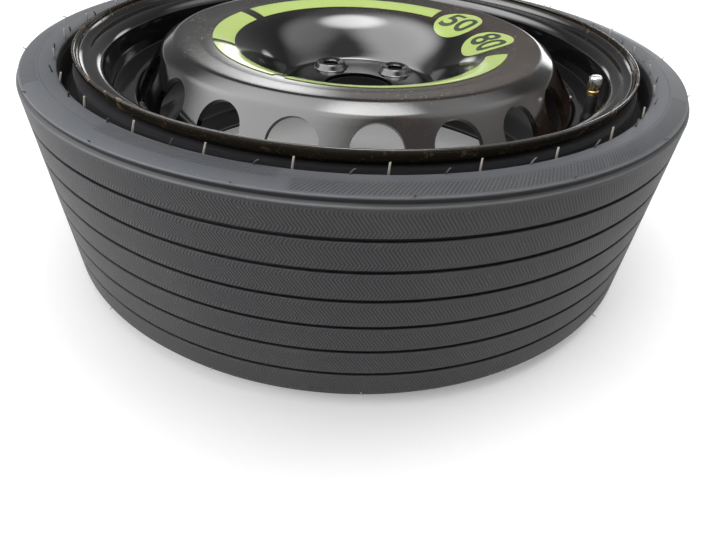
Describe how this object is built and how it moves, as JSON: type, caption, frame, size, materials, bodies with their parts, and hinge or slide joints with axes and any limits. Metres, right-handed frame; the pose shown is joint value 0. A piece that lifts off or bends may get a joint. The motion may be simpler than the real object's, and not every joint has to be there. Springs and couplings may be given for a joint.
{
  "type": "spare wheel",
  "caption": "Pressed steel spare wheel with a ring of round vents and a narrow ribbed tyre folded flat, for bolting to a car hub in an emergency.",
  "frame": {"origin": "centre of the face that bolts to the hub, on the wheel's axis", "axes": "+Z along the wheel's axis towards the outboard side; -Y through a bolt hole"},
  "size_m": [0.55, 0.5499, 0.1766],
  "materials": {
    "tyre_rubber": "matt black rubber",
    "rim_paint": "gloss black paint, dusty",
    "disc_paint": "gloss black paint, dusty",
    "weld_paint": "painted weld",
    "valve_black_rubber": "satin",
    "valve_brass": "dull",
    "cap_metal": "plated, knurled",
    "seal_rubber": "matt",
    "spring_steel": "bright wire",
    "label_film": "satin printed film"
  },
  "bodies": {
    "wheel": {"tyre": "tyre_rubber", "rim": "rim_paint", "wheel_disc": "disc_paint", "weld_beads": "weld_paint", "valve_rubber": "valve_black_rubber", "valve_stem": "valve_brass", "valve_core_body": "valve_brass", "valve_core_spring": "spring_steel", "label_arc_rear": "label_film", "label_arc_left_upper": "label_film", "label_arc_left_lower": "label_film", "label_arc_front": "label_film", "label_disc_near": "label_film", "label_disc_far": "label_film"},
    "core_pin": {"valve_core_pin": "valve_brass", "valve_core_seal": "seal_rubber"},
    "cap_lifter": {"valve_cap_seal": "seal_rubber"},
    "cap": {"valve_cap": "cap_metal"}
  },
  "joints": [
    {"name": "pin_press", "type": "slide", "parent": "wheel", "child": "core_pin", "axis": [0.1067, -0.0378, -0.9936], "range_m": [0, 0.0015], "stiffness_N_per_m": 600, "springref_m": -0.003, "deforming": ["valve_core_spring"]},
    {"name": "cap_lift", "type": "slide", "parent": "wheel", "child": "cap_lifter", "axis": [-0.1067, 0.0378, 0.9936], "range_m": [0, 0.00596]},
    {"name": "cap_turn", "type": "hinge", "parent": "cap_lifter", "child": "cap", "pos_m": [0.19626, -0.0695, 0.0155], "axis": [-0.1067, 0.0378, 0.9936], "range_deg": [0, 2880]}
  ],
  "couplings": [
    {"joint": "cap_turn", "follows": "cap_lift", "rad_per_m": 7913.3}
  ]
}
